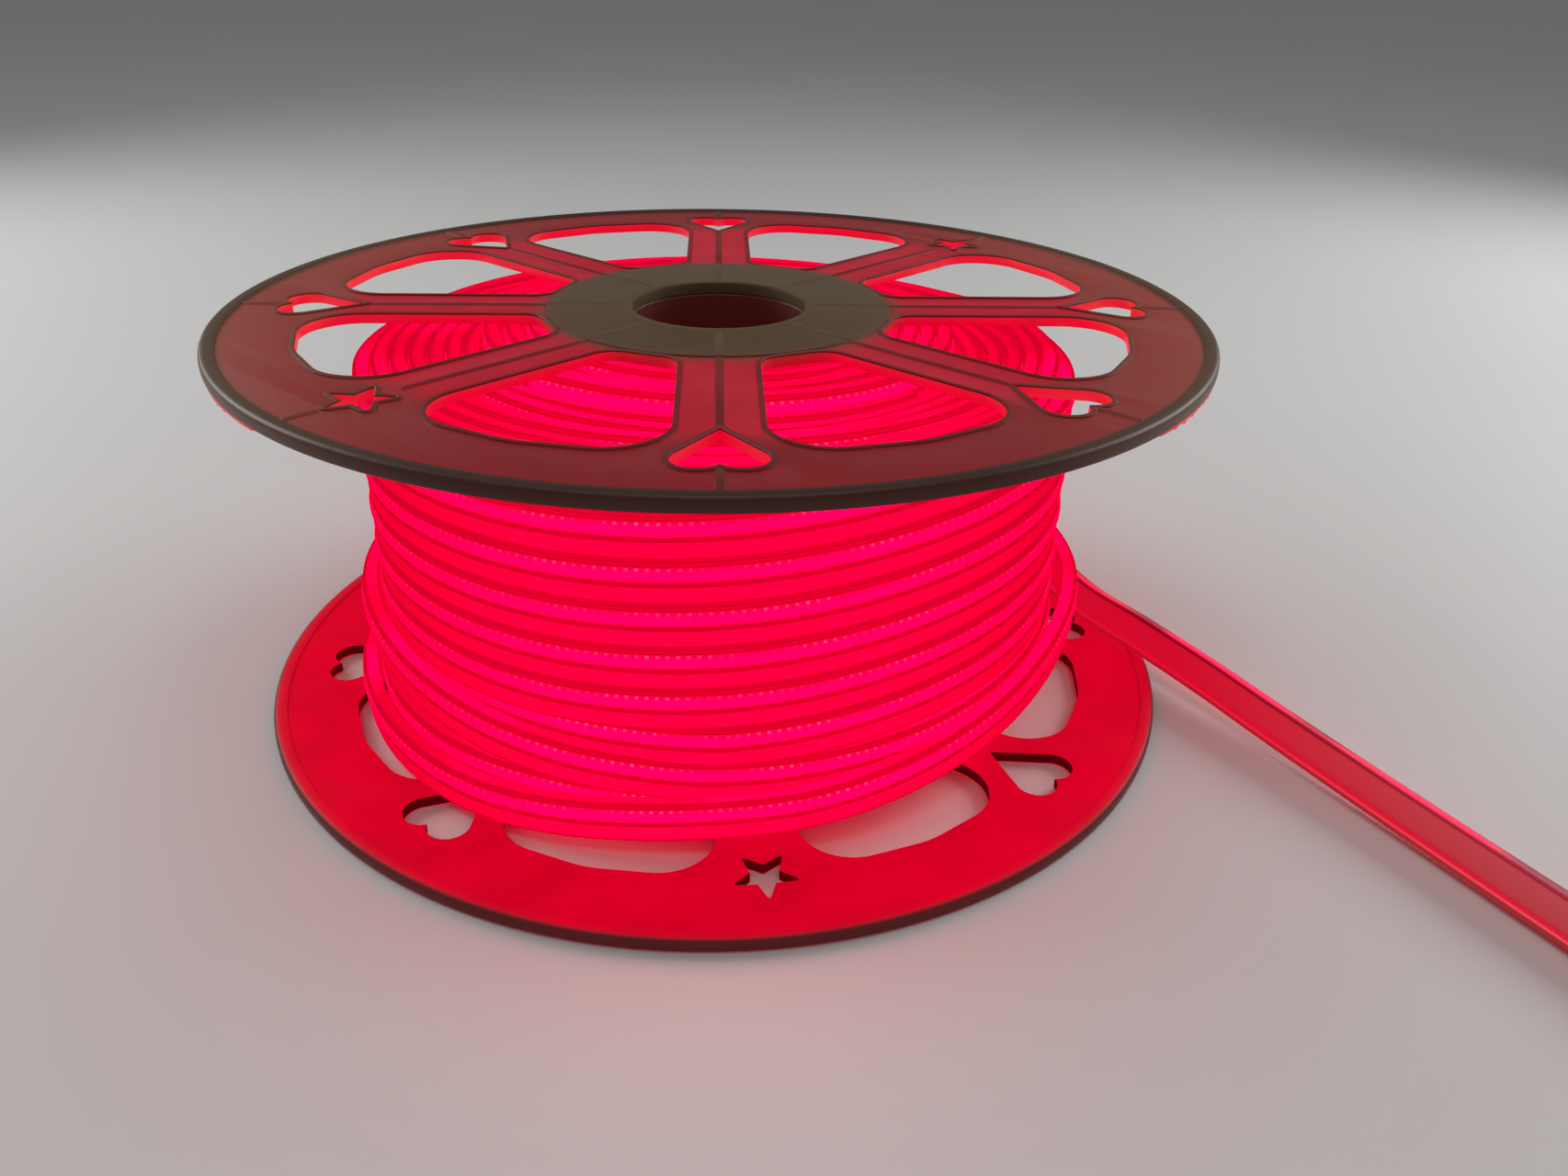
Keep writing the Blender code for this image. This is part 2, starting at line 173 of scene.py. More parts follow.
# Turns of the layer behind them, which show on the left where the loose ones stand off
BACK_TURNS = np.array([
    (-20, 99.8, 24.0),
    (-60, 99.8, 21.4),
    (-90, 99.8, 21.0),
    (-125, 100.6, 20.8),
    (-150, 106.4, 20.4),
    (-167, 108.3, 20.3),
    (-188, 108.2, 20.3),
    (-225, 105.6, 20.3),
    (-300, 101.0, 19.6),
    (-335, 103.0, 18.4),
    (-360, 105.6, 17.0),
    (-378, 105.6, 15.6),
    (-420, 100.4, 11.8),
    (-450, 99.8, 10.2),
    (-475, 101.5, 9.9),
    (-500, 106.6, 9.9),
    (-522, 108.3, 9.9),
    (-548, 108.1, 9.9),
    (-600, 105.4, 9.9),
    (-680, 100.2, 9.9),
    (-715, 99.8, 9.9),
])


def smooth_path(points, count):
    """Evenly spaced points on the curve through some points.

    Between points b and c with neighbours a and d the curve is half of
    2b + (c - a)t + (2a - 5b + 4c - d)t^2 + (3b - a - 3c + d)t^3.
    """
    ends = np.vstack([2 * points[0] - points[1], points, 2 * points[-1] - points[-2]])
    a, b, c, d = (ends[k:len(ends) - 3 + k, None, :] for k in range(4))
    t = np.linspace(0.0, 1.0, 40, endpoint=False)[None, :, None]
    near = 2 * b + (c - a) * t + (2 * a - 5 * b + 4 * c - d) * t ** 2
    fine = 0.5 * (near + (3 * b - a - 3 * c + d) * t ** 3)
    fine = np.vstack([fine.reshape(-1, points.shape[1]), points[-1]])
    run = np.concatenate([[0.0], np.cumsum(np.linalg.norm(np.diff(fine, axis=0), axis=1))])
    goal = np.linspace(0.0, run[-1], count)
    return np.stack([np.interp(goal, run, axis) for axis in fine.T], axis=1)


def smoothstep(x, low, high):
    """0 below low, 1 above high, and 3t^2 - 2t^3 between."""
    t = np.clip((x - low) / (high - low), 0.0, 1.0)
    return t * t * (3 - 2 * t)


def unit(vectors):
    """Vectors divided by their lengths."""
    return vectors / np.linalg.norm(vectors, axis=-1, keepdims=True)


def mesh_piece(name, points, faces, finish, corner_uv=None, sharp=35.0):
    """Object of points and faces at the origin, faces turned outwards, edges above an angle kept sharp."""
    triangles = [(f[0], f[k], f[k + 1]) for f in faces for k in range(1, len(f) - 1)]
    a, b, c = (points[list(corner)] for corner in zip(*triangles))
    if np.einsum("ij,ij->", a, np.cross(b, c)) < 0:
        faces = [tuple(reversed(f)) for f in faces]
        if corner_uv is not None:
            corner_uv = [list(reversed(pairs)) for pairs in corner_uv]
    mesh = bpy.data.meshes.new(name)
    mesh.from_pydata(points.tolist(), [], faces)
    if corner_uv is not None:
        layer = mesh.uv_layers.new(name="UVMap")
        flat = np.array([pair for pairs in corner_uv for pair in pairs], np.float32)
        layer.data.foreach_set("uv", flat.ravel())
    mesh.materials.append(finish)
    mesh.shade_smooth()
    mesh.set_sharp_from_angle(angle=math.radians(sharp))
    piece = bpy.data.objects.new(name, mesh)
    bpy.context.scene.collection.objects.link(piece)
    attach(piece, "root")
    return piece


def grid_faces(rows, columns, wrap_rows, wrap_columns, start=0):
    """Quads between a grid's neighbours, and the grid steps of each quad's corners."""
    i, j = np.meshgrid(
        np.arange(rows if wrap_rows else rows - 1),
        np.arange(columns if wrap_columns else columns - 1),
        indexing="ij",
    )
    i, j = i.ravel(), j.ravel()
    steps = np.stack([(i, j), (i + 1, j), (i + 1, j + 1), (i, j + 1)]).transpose(2, 0, 1)
    corners = steps % (rows, columns)
    return start + corners[..., 0] * columns + corners[..., 1], steps


def swept(centres, sides, ups, section):
    """Grid of points: at each centre, the section's x runs along the side and its y along the up."""
    across = section[None, :, 0, None] * sides[:, None, :]
    upright = section[None, :, 1, None] * ups[:, None, :]
    return centres[:, None, :] + across + upright


def tube_piece(name, grids, finish, run=None, girth=None, sharp=35.0):
    """Closed tubes: each grid's rows are rings that join in quads, with a fan at each end."""
    points, faces, pairs, start = [], [], [], 0
    for k, grid in enumerate(grids):
        rows, columns = grid.shape[:2]
        quads, steps = grid_faces(rows, columns, False, True, start)
        first, last = start + rows * columns, start + rows * columns + 1
        ring = np.arange(columns)
        after = (ring + 1) % columns
        top = start + (rows - 1) * columns
        faces += [tuple(q) for q in quads.tolist()]
        faces += [(first, start + int(b), start + int(a)) for a, b in zip(ring, after)]
        faces += [(last, top + int(a), top + int(b)) for a, b in zip(ring, after)]
        points += [grid.reshape(-1, 3), grid[0].mean(0)[None], grid[-1].mean(0)[None]]
        start += rows * columns + 2
        if run is not None:
            uv = np.stack([run[k][steps[..., 0]], girth[steps[..., 1]]], axis=-1)
            pairs += uv.tolist()
            pairs += [[(run[k][0], 0.5)] * 3] * columns + [[(run[k][-1], 0.5)] * 3] * columns
    return mesh_piece(name, np.vstack(points), faces, finish, pairs if run is not None else None, sharp)


def ring_piece(name, profiles, steps, finish, sharp=35.0, place=None):
    """Rings turned about the reel's axis: points (r cos a, r sin a, z) of closed (r, z) profiles."""
    angle = np.linspace(0.0, math.tau, steps, endpoint=False)
    points, faces, start = [], [], 0
    for profile in profiles:
        r, z = np.array(profile).T
        grid = np.stack([
            np.cos(angle)[:, None] * r,
            np.sin(angle)[:, None] * r,
            np.broadcast_to(z, (steps, len(z))),
        ], axis=-1)
        quads, _ = grid_faces(steps, len(r), True, True, start)
        faces += [tuple(q) for q in quads.tolist()]
        points.append(grid.reshape(-1, 3))
        start += grid.shape[0] * grid.shape[1]
    points = np.vstack(points)
    if place is not None:
        points = placed(points, place)
    return mesh_piece(name, points, faces, finish, sharp=sharp)


def placed(points, place):
    """Points moved by a 4 by 4 matrix."""
    matrix = np.array(place)
    return points @ matrix[:3, :3].T + matrix[:3, 3]


class Value:
    """A number in a material's nodes. Each operator adds a Math node for its result."""

    def __init__(self, nodes, socket):
        self.nodes = nodes
        self.socket = socket

    def __add__(self, other):
        return self.nodes.math("ADD", self, other)

    def __sub__(self, other):
        return self.nodes.math("SUBTRACT", self, other)

    def __rsub__(self, other):
        return self.nodes.math("SUBTRACT", other, self)

    def __mul__(self, other):
        return self.nodes.math("MULTIPLY", self, other)

    def __truediv__(self, other):
        return self.nodes.math("DIVIDE", self, other)

    __radd__ = __add__
    __rmul__ = __mul__


class Finish:
    """A material with its node tree; add() makes any node and returns its output."""

    def __init__(self, name):
        self.material = bpy.data.materials.new(name)
        self.material.use_nodes = True
        self.tree = self.material.node_tree
        self.tree.nodes.clear()

    def add(self, kind, settings=None, sockets=None, output=0):
        node = self.tree.nodes.new("ShaderNode" + kind)
        for key, value in (settings or {}).items():
            if key == "stops":
                self.set_stops(node.color_ramp, value)
            else:
                setattr(node, key, value)
        for key, value in (sockets or {}).items():
            if isinstance(value, Value):
                self.tree.links.new(value.socket, node.inputs[key])
            else:
                node.inputs[key].default_value = value
        return Value(self, node.outputs[output]) if node.outputs else None

    @staticmethod
    def set_stops(ramp, stops):
        while len(ramp.elements) < len(stops):
            ramp.elements.new(1.0)
        for element, (place, color) in zip(ramp.elements, stops):
            element.position = place
            element.color = (*color, 1.0)

    def math(self, operation, *terms):
        return self.add("Math", {"operation": operation}, dict(enumerate(terms)))

    def between(self, value, low, high):
        """Smooth step from 0 at low to 1 at high."""
        settings = {"interpolation_type": "SMOOTHSTEP"}
        return self.add("MapRange", settings, {"Value": value, "From Min": low, "From Max": high})

    def mix(self, factor, first, second):
        """Colour between two colours."""
        sockets = {"Factor": factor, 6: first, 7: second}
        return self.add("Mix", {"data_type": "RGBA"}, sockets, output=2)

    def noise(self, vector, scale, detail=2.0):
        return self.add("TexNoise", None, {"Vector": vector, "Scale": scale, "Detail": detail})

    def place(self):
        """Object coordinates, and the distance from the reel's axis with the height."""
        where = self.add("TexCoord", output="Object")
        x, y, z = (self.add("SeparateXYZ", None, {0: where}, output=k) for k in range(3))
        radius = self.math("SQRT", x * x + y * y)
        return where, radius, z

    def bump(self, height, strength, distance):
        return self.add("Bump", None, {"Height": height, "Strength": strength, "Distance": distance})

    def shade(self, sockets):
        """Close the material with one shader."""
        shader = self.add("BsdfPrincipled", None, sockets)
        self.add("OutputMaterial", None, {"Surface": shader})
        return self.material


def rgb(r, g, b):
    """Colour with its alpha, as a socket takes it."""
    return (r, g, b, 1.0)


GLOW = 3.0

# Colours of the strip's light, where it is seen from the front and from the side: the side colours, used
# towards the left and right, are painted shade, and the darkest pair is painted shade in grooves and at
# edges
PAINTED_SHADE = (0.225, 0.0, 0.0074), (0.205, 0.0, 0.0070)
RED = (0.290, 0.0, 0.0100), (0.248, 0.0, 0.0086)
BAND = (0.480, 0.0, 0.0190), (0.290, 0.0, 0.0105)
BRIGHT = (0.600, 0.0, 0.0195), (0.345, 0.0, 0.0135)
PINK = (0.800, 0.0, 0.0420), (0.390, 0.0, 0.0165)
CHIP = (1.0, 0.030, 0.100)

# The light round the strip's girth: place in mm from its top front edge, and its colours; the darkest
# stops, in its grooves and at its edges, are painted shade
STRIP_LIGHT = [
    (0.0, PAINTED_SHADE), (0.3, PAINTED_SHADE), (0.55, RED), (0.8, RED), (1.0, PAINTED_SHADE), (1.5, PAINTED_SHADE), (1.8, BRIGHT),
    (2.4, PINK), (4.6, PINK), (5.2, BRIGHT), (5.6, PAINTED_SHADE), (6.9, PAINTED_SHADE), (7.2, BAND), (8.2, BAND),
    (10.4, BAND), (11.0, RED), (11.5, PAINTED_SHADE), (12.0, PAINTED_SHADE), (13.5, RED), (15.5, RED), (17.0, PAINTED_SHADE),
    (18.2, RED), (27.2, RED), (28.4, PAINTED_SHADE), (29.3, PAINTED_SHADE), (30.2, BAND), (32.2, BAND), (33.2, RED),
    (33.7, PAINTED_SHADE), (34.0, PAINTED_SHADE),
]

# The same round the free end, near the reel and far from it, where it is hardly lit: the change between
# them is painted light, and the lilac line at 29.8 to 30.8 mm along its top edge is a painted highlight
FREE_END_LIGHT = [
    (0.0, ((0.110, 0.001, 0.006), (0.060, 0.008, 0.012))),
    (2.5, BRIGHT), (5.5, BRIGHT), (9.0, BAND), (12.0, PAINTED_SHADE),
    (15.8, ((0.030, 0.0, 0.001), (0.030, 0.003, 0.003))),
    (16.4, ((0.120, 0.001, 0.005), (0.085, 0.010, 0.009))),
    (17.6, ((0.160, 0.001, 0.006), (0.075, 0.008, 0.007))),
    (18.0, ((0.180, 0.001, 0.007), (0.100, 0.014, 0.014))),
    (18.4, ((0.250, 0.002, 0.012), (0.320, 0.035, 0.050))),
    (18.9, ((0.240, 0.001, 0.010), (0.290, 0.004, 0.014))),
    (19.8, ((0.205, 0.001, 0.008), (0.160, 0.005, 0.010))),
    (21.5, ((0.200, 0.001, 0.008), (0.125, 0.017, 0.020))),
    (27.4, ((0.200, 0.001, 0.008), (0.135, 0.022, 0.026))),
    (28.2, ((0.190, 0.001, 0.007), (0.150, 0.018, 0.026))),
    (28.6, ((0.060, 0.0, 0.002), (0.080, 0.006, 0.010))),
    (29.3, ((0.055, 0.0, 0.002), (0.095, 0.011, 0.016))),
    (29.8, ((0.150, 0.002, 0.014), (0.130, 0.024, 0.038))),
    (30.8, ((0.130, 0.003, 0.018), (0.110, 0.020, 0.034))),
    (33.4, ((0.080, 0.001, 0.005), (0.060, 0.008, 0.012))),
]


def lit_strip(name, light_stops, fade=None):
    """Soft clear strip lit from inside: bands across it, chips showing as dots along its dome. Towards the
    left and right its bands and chips are dimmed as painted shade; on the free end its colours go from
    near the reel to far, as painted light.
    """
    f = Finish(name)
    uv = f.add("UVMap", {"uv_map": "UVMap"})
    run, girth = (f.add("SeparateXYZ", None, {0: uv}, output=k) for k in range(2))
    lit_and_shaded_ramps = []
    for side in range(2):
        stops = [(place * MM / STRIP_GIRTH, colors[side]) for place, colors in light_stops]
        lit_and_shaded_ramps.append(f.add("ValToRGB", {"stops": stops}, {0: girth}))
    where = f.add("TexCoord", output="Object")
    across = f.math("ABSOLUTE", f.add("SeparateXYZ", None, {0: where}))
    # Painted shade: towards the left and right the side colours take over; on the free end the colours go
    # from near to far along its run, as painted light.
    light = f.mix(f.between(run, *fade) if fade else f.between(across, 0.035, 0.092), *lit_and_shaded_ramps)
    off_chip = f.math("ABSOLUTE", f.math("FRACT", run / CHIP_PITCH) - 0.5)
    height = girth * (STRIP_GIRTH / MM)
    dome = f.between(height, 1.7, 2.1) * (1 - f.between(height, 3.6, 5.2))
    light = f.mix((1 - f.between(off_chip, 0.1, 0.45)) * dome * 0.25, light, rgb(0.9, 0.0, 0.070))
    edge = f.between(height, 1.6, 1.8) * (1 - f.between(height, 2.0, 2.5))
    streak = f.noise(f.add("CombineXYZ", None, {0: run * 45.0}), 1.0, 1.0)
    spark = f.noise(f.add("CombineXYZ", None, {0: run * 330.0}), 1.0, 0.0)
    seen = f.between(streak, 0.40, 0.62) * (0.35 + 0.65 * f.between(spark, 0.35, 0.65))
    # Painted shade: the chips dim towards the left and right.
    seen = seen * (1 - 0.75 * f.between(across, 0.030, 0.070))
    light = f.mix((1 - f.between(off_chip, 0.06, 0.24)) * edge * seen * 0.85, light, rgb(*CHIP))
    glow = f.between(f.noise(where, 17.0, 1.0), 0.46, 0.62) * f.between(height, 29.0, 30.5)
    light = f.mix(glow * (1 - f.between(height, 32.6, 33.6)) * 0.8, light, rgb(0.85, 0.0, 0.040))
    cloud = f.between(f.noise(where, 14.0, 2.0), 0.3, 0.75) * (0.04 if fade else 0.15)
    light = f.mix(cloud, light, rgb(*RED[0]))
    ripple = f.noise(where, 900.0, 2.0)
    return f.shade({
        "Base Color": f.mix(ripple, rgb(0.05, 0.0005, 0.002), rgb(0.06, 0.0006, 0.0025)),
        "Roughness": 0.3 + 0.12 * ripple,
        "Specular IOR Level": 0.12 if fade else 0.0,
        "Emission Color": light,
        "Emission Strength": GLOW,
        "Normal": f.bump(ripple, 0.08, 0.0004),
    })


def milky(
    name, near, beyond, rim, painted_lit_base, wall=0.22, gloss=0.3, edge_base=None,
    edge=(0.1388, 0.1412), bare=0.6,
):
    """Milky moulded plastic with the strip's light painted on as a red glow: near the winding, beyond it,
    on the rim and on cut walls; where it glows, its base colour is a painted lit one.

    Beyond the winding a share of the plastic's own colour shows instead of the painted lit base, more so
    at the left and right.
    """
    f = Finish(name)
    where, radius, _ = f.place()
    mottle = f.noise(where, 60.0, 3.0)
    grain = f.noise(where, 1400.0, 2.0)
    # Painted light: the glow and the painted lit base start over the winding; over the hub there is none.
    lit = f.between(radius, 0.0470, 0.0590)
    far = f.between(radius, 0.104, 0.118)
    at_edge = f.between(radius, *edge)
    olive = f.mix(mottle, rgb(0.102, 0.060, 0.027), rgb(0.132, 0.080, 0.037))
    # Beyond the winding, and more so towards the left and right, the painted lit base gives way to the
    # plastic's own colour.
    sides = f.math("ABSOLUTE", f.add("SeparateXYZ", None, {0: where}))
    unlit = far * (0.25 + f.between(sides, 0.05, 0.13)) * bare
    base = f.mix(lit * (1 - unlit), olive, rgb(*painted_lit_base))
    normal = f.add("NewGeometry", output="Normal")
    upright = f.math("ABSOLUTE", f.add("SeparateXYZ", None, {0: normal}, output=2))
    flat = f.between(upright, 0.35, 0.75)
    # Painted light: the strip's glow near the winding, beyond it and on the rim.
    glow = f.mix(far, rgb(*near), rgb(*beyond))
    glow = f.mix(at_edge, glow, rgb(*rim))
    if edge_base:
        base = f.mix(at_edge, base, rgb(*edge_base))
    # On cut walls the glow is the wall's colour: painted light where bright, painted shade where dark.
    glow = f.mix(flat, rgb(wall, 0.0, wall * 0.03), glow)
    glow = f.mix(lit, rgb(0.0, 0.0, 0.0), glow)
    glow = f.mix(mottle * 0.35, glow, rgb(0.0, 0.0, 0.0))
    return f.shade({
        "Base Color": base,
        "Roughness": 0.36 + 0.14 * mottle,
        "Specular IOR Level": gloss,
        "Emission Color": glow,
        "Emission Strength": GLOW,
        "Normal": f.bump(grain, 0.12, 0.0003),
    })


def dark_tube(name):
    """Dark plastic of the hub, which passes hardly any light; its red glow is painted light: faint in the
    bore and darker towards its lower end as painted shade, strong on the barrel's outer face.
    """
    f = Finish(name)
    where, radius, z = f.place()
    mottle = f.noise(where, 45.0, 3.0)
    # Painted light in the bore: a faint red glow, darker towards the lower end as painted shade.
    inside = f.mix(f.between(z, 0.02, 0.11), rgb(0.003, 0.0, 0.0), rgb(0.006, 0.0, 0.0))
    return f.shade({
        "Base Color": f.mix(mottle, rgb(0.065, 0.018, 0.014), rgb(0.090, 0.026, 0.020)),
        "Roughness": 0.42 + 0.1 * mottle,
        # Painted light: the barrel's outer face, under the winding, glows red.
        "Emission Color": f.mix(f.between(radius, 0.0488, 0.0498), inside, rgb(0.25, 0.0, 0.008)),
        "Emission Strength": GLOW,
    })


def clear_cap(name):
    """Semi-clear moulded plastic, with a faint red glow that is painted light."""
    f = Finish(name)
    where = f.add("TexCoord", output="Object")
    mottle = f.noise(where, 300.0, 2.0)
    return f.shade({
        "Base Color": f.mix(mottle, rgb(0.62, 0.50, 0.50), rgb(0.72, 0.62, 0.61)),
        "Roughness": 0.22 + 0.12 * mottle,
        # Painted light: a faint red glow.
        "Emission Color": f.mix(mottle, rgb(0.05, 0.0, 0.002), rgb(0.08, 0.0, 0.003)),
        "Emission Strength": 1.0,
        "Normal": f.bump(mottle, 0.1, 0.0003),
    })


def floor_finish():
    """Pale matt board with a faint tooth."""
    f = Finish("pale_board")
    where = f.add("TexCoord", output="Object")
    soft = f.noise(where, 3.0, 3.0)
    tooth = f.noise(where, 700.0, 2.0)
    return f.shade({
        "Base Color": f.mix(soft, rgb(0.66, 0.66, 0.65), rgb(0.72, 0.72, 0.71)),
        "Roughness": 0.5 + 0.1 * tooth,
        "Normal": f.bump(tooth, 0.05, 0.0002),
    })


def strip_section():
    """Outline across the strip, x outwards and y up, in order from its top front edge downwards.

    The front has a narrow bead, a raised dome over the chips and a wide flat band,
    parted by grooves; each bulge is half a sine wave over its height.
    """
    def bulge(top, bottom, base, rise, count):
        t = np.linspace(0.0, 1.0, count)
        return np.stack([base + rise * np.sin(math.pi * t), top + (bottom - top) * t], axis=1)

    half = STRIP_WIDTH / 2 / MM
    back = STRIP_THICKNESS / 2 / MM
    front = np.vstack([
        bulge(half - 0.1, half - 1.05, 1.85, 0.45, 4),
        [(1.55, half - 1.2)],
        bulge(half - 1.35, -0.1, 1.9, 0.95, 8),
        [(1.45, -0.3)],
        bulge(-0.5, -half + 0.3, 1.95, 0.4, 6),
    ])
    rear = np.array([
        (1.3, -half), (-1.9, -half), (-back, -half + 0.6), (-back, -2.0), (-back, 2.0),
        (-back, half - 0.6), (-1.9, half), (1.3, half),
    ])
    outline = np.vstack([front, rear])
    loop = np.vstack([outline, outline[:1]])
    girth = np.concatenate([[0.0], np.cumsum(np.linalg.norm(np.diff(loop, axis=0), axis=1))])
    places = np.concatenate([half - front[:, 1], girth[len(front):]])
    rear_scale = (STRIP_GIRTH / MM - STRIP_WIDTH / MM) / (girth[-1] - girth[len(front) - 1])
    rear_places = STRIP_WIDTH / MM + (girth[len(front):] - girth[len(front) - 1]) * rear_scale
    places[len(front):] = rear_places
    return outline * MM, places * MM / STRIP_GIRTH


SECTION, GIRTH = strip_section()


def ribbon(centres, lean=0.0):
    """Strip along a path, its face to the left of its travel, and the length run so far.

    Where it leans, its top goes towards its face by an angle that rises from
    nothing and falls back to it at the ends; its lower back edge stays in place.
    """
    along = unit(np.gradient(centres, axis=0))
    sides = unit(np.stack([-along[:, 1], along[:, 0], np.zeros(len(along))], axis=1))
    ups = unit(np.cross(along, sides))
    ups *= np.sign(ups[:, 2:3])
    run = np.concatenate([[0.0], np.cumsum(np.linalg.norm(np.diff(centres, axis=0), axis=1))])
    if lean:
        last = smoothstep(run, run[-1] - LEAN_ENDS[0], run[-1] - LEAN_ENDS[1])
        turn = (lean * smoothstep(run, *LEAN_STARTS) * (1 - last))[:, None]
        leaning = ups * np.cos(turn) + sides * np.sin(turn)
        sides = sides * np.cos(turn) - ups * np.sin(turn)
        centres = centres + (leaning - ups) * STRIP_WIDTH / 2 + ups * np.sin(turn) * STRIP_THICKNESS / 2
        ups = leaning
    return swept(centres, sides, ups, SECTION), run


def on_reel(angle, radius, height):
    """Points at angles in radians, radii and heights about the reel's axis."""
    return np.stack([radius * np.cos(angle), radius * np.sin(angle), height * np.ones_like(angle)], axis=1)


def climb(angle):
    """Turns climbed at an angle: the turns run nearly level and step up across the front right.

    It is a share of the angle plus the area under a bell about the step, once each turn.
    """
    table = np.linspace(-math.pi, math.pi, 721)
    step, spread, level = math.radians(-76.0), math.radians(32.0), 0.055
    bell = np.exp(-(((table - step + math.pi) % math.tau - math.pi) / spread) ** 2)
    area = np.concatenate([[0.0], np.cumsum((bell[1:] + bell[:-1]) / 2)])
    share = level * (table + math.pi) + (1 - level * math.tau) * area / area[-1]
    whole = np.floor((angle + math.pi) / math.tau)
    return whole + np.interp(angle - whole * math.tau, table, share)


def loose_path(knots, count):
    """Smooth curve through knots of angle, radius and height about the reel's axis."""
    spread = np.array([OUTER_LAYER, 1.0, 1.0])
    knots = knots * (math.radians(1.0), MM, MM)
    fine = smooth_path(knots * spread, count) / spread
    return on_reel(fine[:, 0], fine[:, 1], fine[:, 2])


def outer_turns():
    """Last layer of the strip: even turns that fall clockwise, then the loose ones.

    The even turns are a helix of the layer's radius whose height follows climb();
    the loose ones run on a smooth curve through LOOSE_TURNS.
    """
    front = math.radians(-90.0)
    last = math.radians(LOOSE_TURNS[0, 0])
    angle = np.linspace(math.radians(-40.0), last - 6 * math.tau, 1000)
    height = FRONT_TOP_TURN + TURN_PITCH * (climb(angle) - climb(np.array([front])))
    height = np.minimum(height, LOW_TURN + 0.6 * MM)
    even = on_reel(angle, OUTER_LAYER, height)
    return even, loose_path(LOOSE_TURNS, 430)


def layer_tops(first, count, height, start):
    """Topmost turns of some layers, as one spiral: level rings that hop outwards once a turn.

    The radius grows by a layer over the last part of each turn, and the height
    sways by two sines whose periods don't match the turns.
    """
    turned = np.linspace(0.0, count - 0.12, 110 * count)
    hop = smoothstep(turned % 1.0, 0.84, 1.0)
    radius = first + LAYER * (np.floor(turned) + hop)
    angle = math.radians(start) - turned * math.tau * 0.97
    sway = 0.7 * MM * np.sin(1.62 * math.tau * turned) + 0.4 * MM * np.sin(0.37 * math.tau * turned)
    sway -= 0.6 * MM * np.sin(math.pi * hop) ** 2
    return on_reel(angle, radius, height + sway)


def flange_place(upper):
    """Matrix from the flange that lies with its outer face down at the origin to its real place."""
    if not upper:
        return Matrix.Rotation(LOWER_TURN, 4, "Z")
    lift = Matrix.Translation((0.0, 0.0, REEL_HEIGHT))
    return lift @ Matrix.Rotation(UPPER_TURN, 4, "Z") @ Matrix.Rotation(math.pi, 4, "X")


def turned_outline(outline, angle):
    """Outline turned about the reel's axis."""
    c, s = math.cos(angle), math.sin(angle)
    return outline @ np.array([(c, s), (-s, c)])


def rounded(corners, radii, steps):
    """Closed outline whose corners are arcs, each tangent to the two sides that meet there."""
    outline = []
    for k, (corner, radius) in enumerate(zip(corners, radii)):
        back = unit(corners[k - 1] - corner)
        ahead = unit(corners[(k + 1) % len(corners)] - corner)
        half = math.acos(np.clip(back @ ahead, -1.0, 1.0)) / 2
        middle = corner + unit(back + ahead) * radius / math.sin(half)
        start = corner + back * radius / math.tan(half) - middle
        end = corner + ahead * radius / math.tan(half) - middle
        turn = math.atan2(start[0] * end[1] - start[1] * end[0], start @ end)
        t = np.linspace(0.0, turn, steps)[:, None]
        outline.append(middle + start * np.cos(t) + np.array([-start[1], start[0]]) * np.sin(t))
    return np.vstack(outline)


def grown(corners, grow):
    """Corners of a polygon moved so that each side shifts outwards by the same distance."""
    back = unit(corners - np.roll(corners, 1, axis=0))
    ahead = unit(np.roll(corners, -1, axis=0) - corners)
    normals = [np.stack([side[:, 1], -side[:, 0]], axis=1) for side in (back, ahead)]
    spread = 1 + (normals[0] * normals[1]).sum(axis=1, keepdims=True)
    return corners + grow * (normals[0] + normals[1]) / spread


def window_outline(grow):
    """Window about the X axis, between two spokes with straight sides."""
    def corner(radius, side):
        angle = side * (math.pi / SPOKES - math.asin(SPOKE_WIDTH / 2 / radius))
        return np.array([radius * math.cos(angle), radius * math.sin(angle)])

    corners = np.array([
        corner(WINDOW_INNER, -1), corner(WINDOW_OUTER, -1), np.array([WINDOW_OUTER, 0.0]),
        corner(WINDOW_OUTER, 1), corner(WINDOW_INNER, 1),
    ])
    radii = np.array([
        WINDOW_INNER_CORNER, WINDOW_OUTER_CORNER, 2 * WINDOW_OUTER_CORNER,
        WINDOW_OUTER_CORNER, WINDOW_INNER_CORNER,
    ])
    return rounded(grown(corners, grow), radii + grow, 14)


def heart_outline(grow):
    """Heart on the X axis with its tip towards the hub: two arcs and their straight tangents.

    Growing keeps the arcs' centres and the tangents' slope, and moves the tip
    to where the tangents cross.
    """
    middle = HEART_WIDTH / 2 - HEART_LOBE
    tip = HEART_LENGTH - HEART_LOBE
    below = math.atan2(middle, tip) + math.asin(HEART_LOBE / math.hypot(middle, tip))
    lobe = HEART_LOBE + grow
    meet = math.pi - math.acos(middle / lobe)
    t = np.linspace(-below, meet, 22)
    right = np.stack([middle + lobe * np.cos(t), lobe * np.sin(t)], axis=1)
    left = right[-2::-1] * (-1, 1)
    reach = lobe * math.sin(below) + (middle + lobe * math.cos(below)) / math.tan(below)
    outline = np.vstack([right, left, [(0.0, -reach)]])
    shift = HEART_CENTRE + HEART_LENGTH / 2 - HEART_LOBE
    return np.stack([outline[:, 1] + shift, -outline[:, 0]], axis=1)


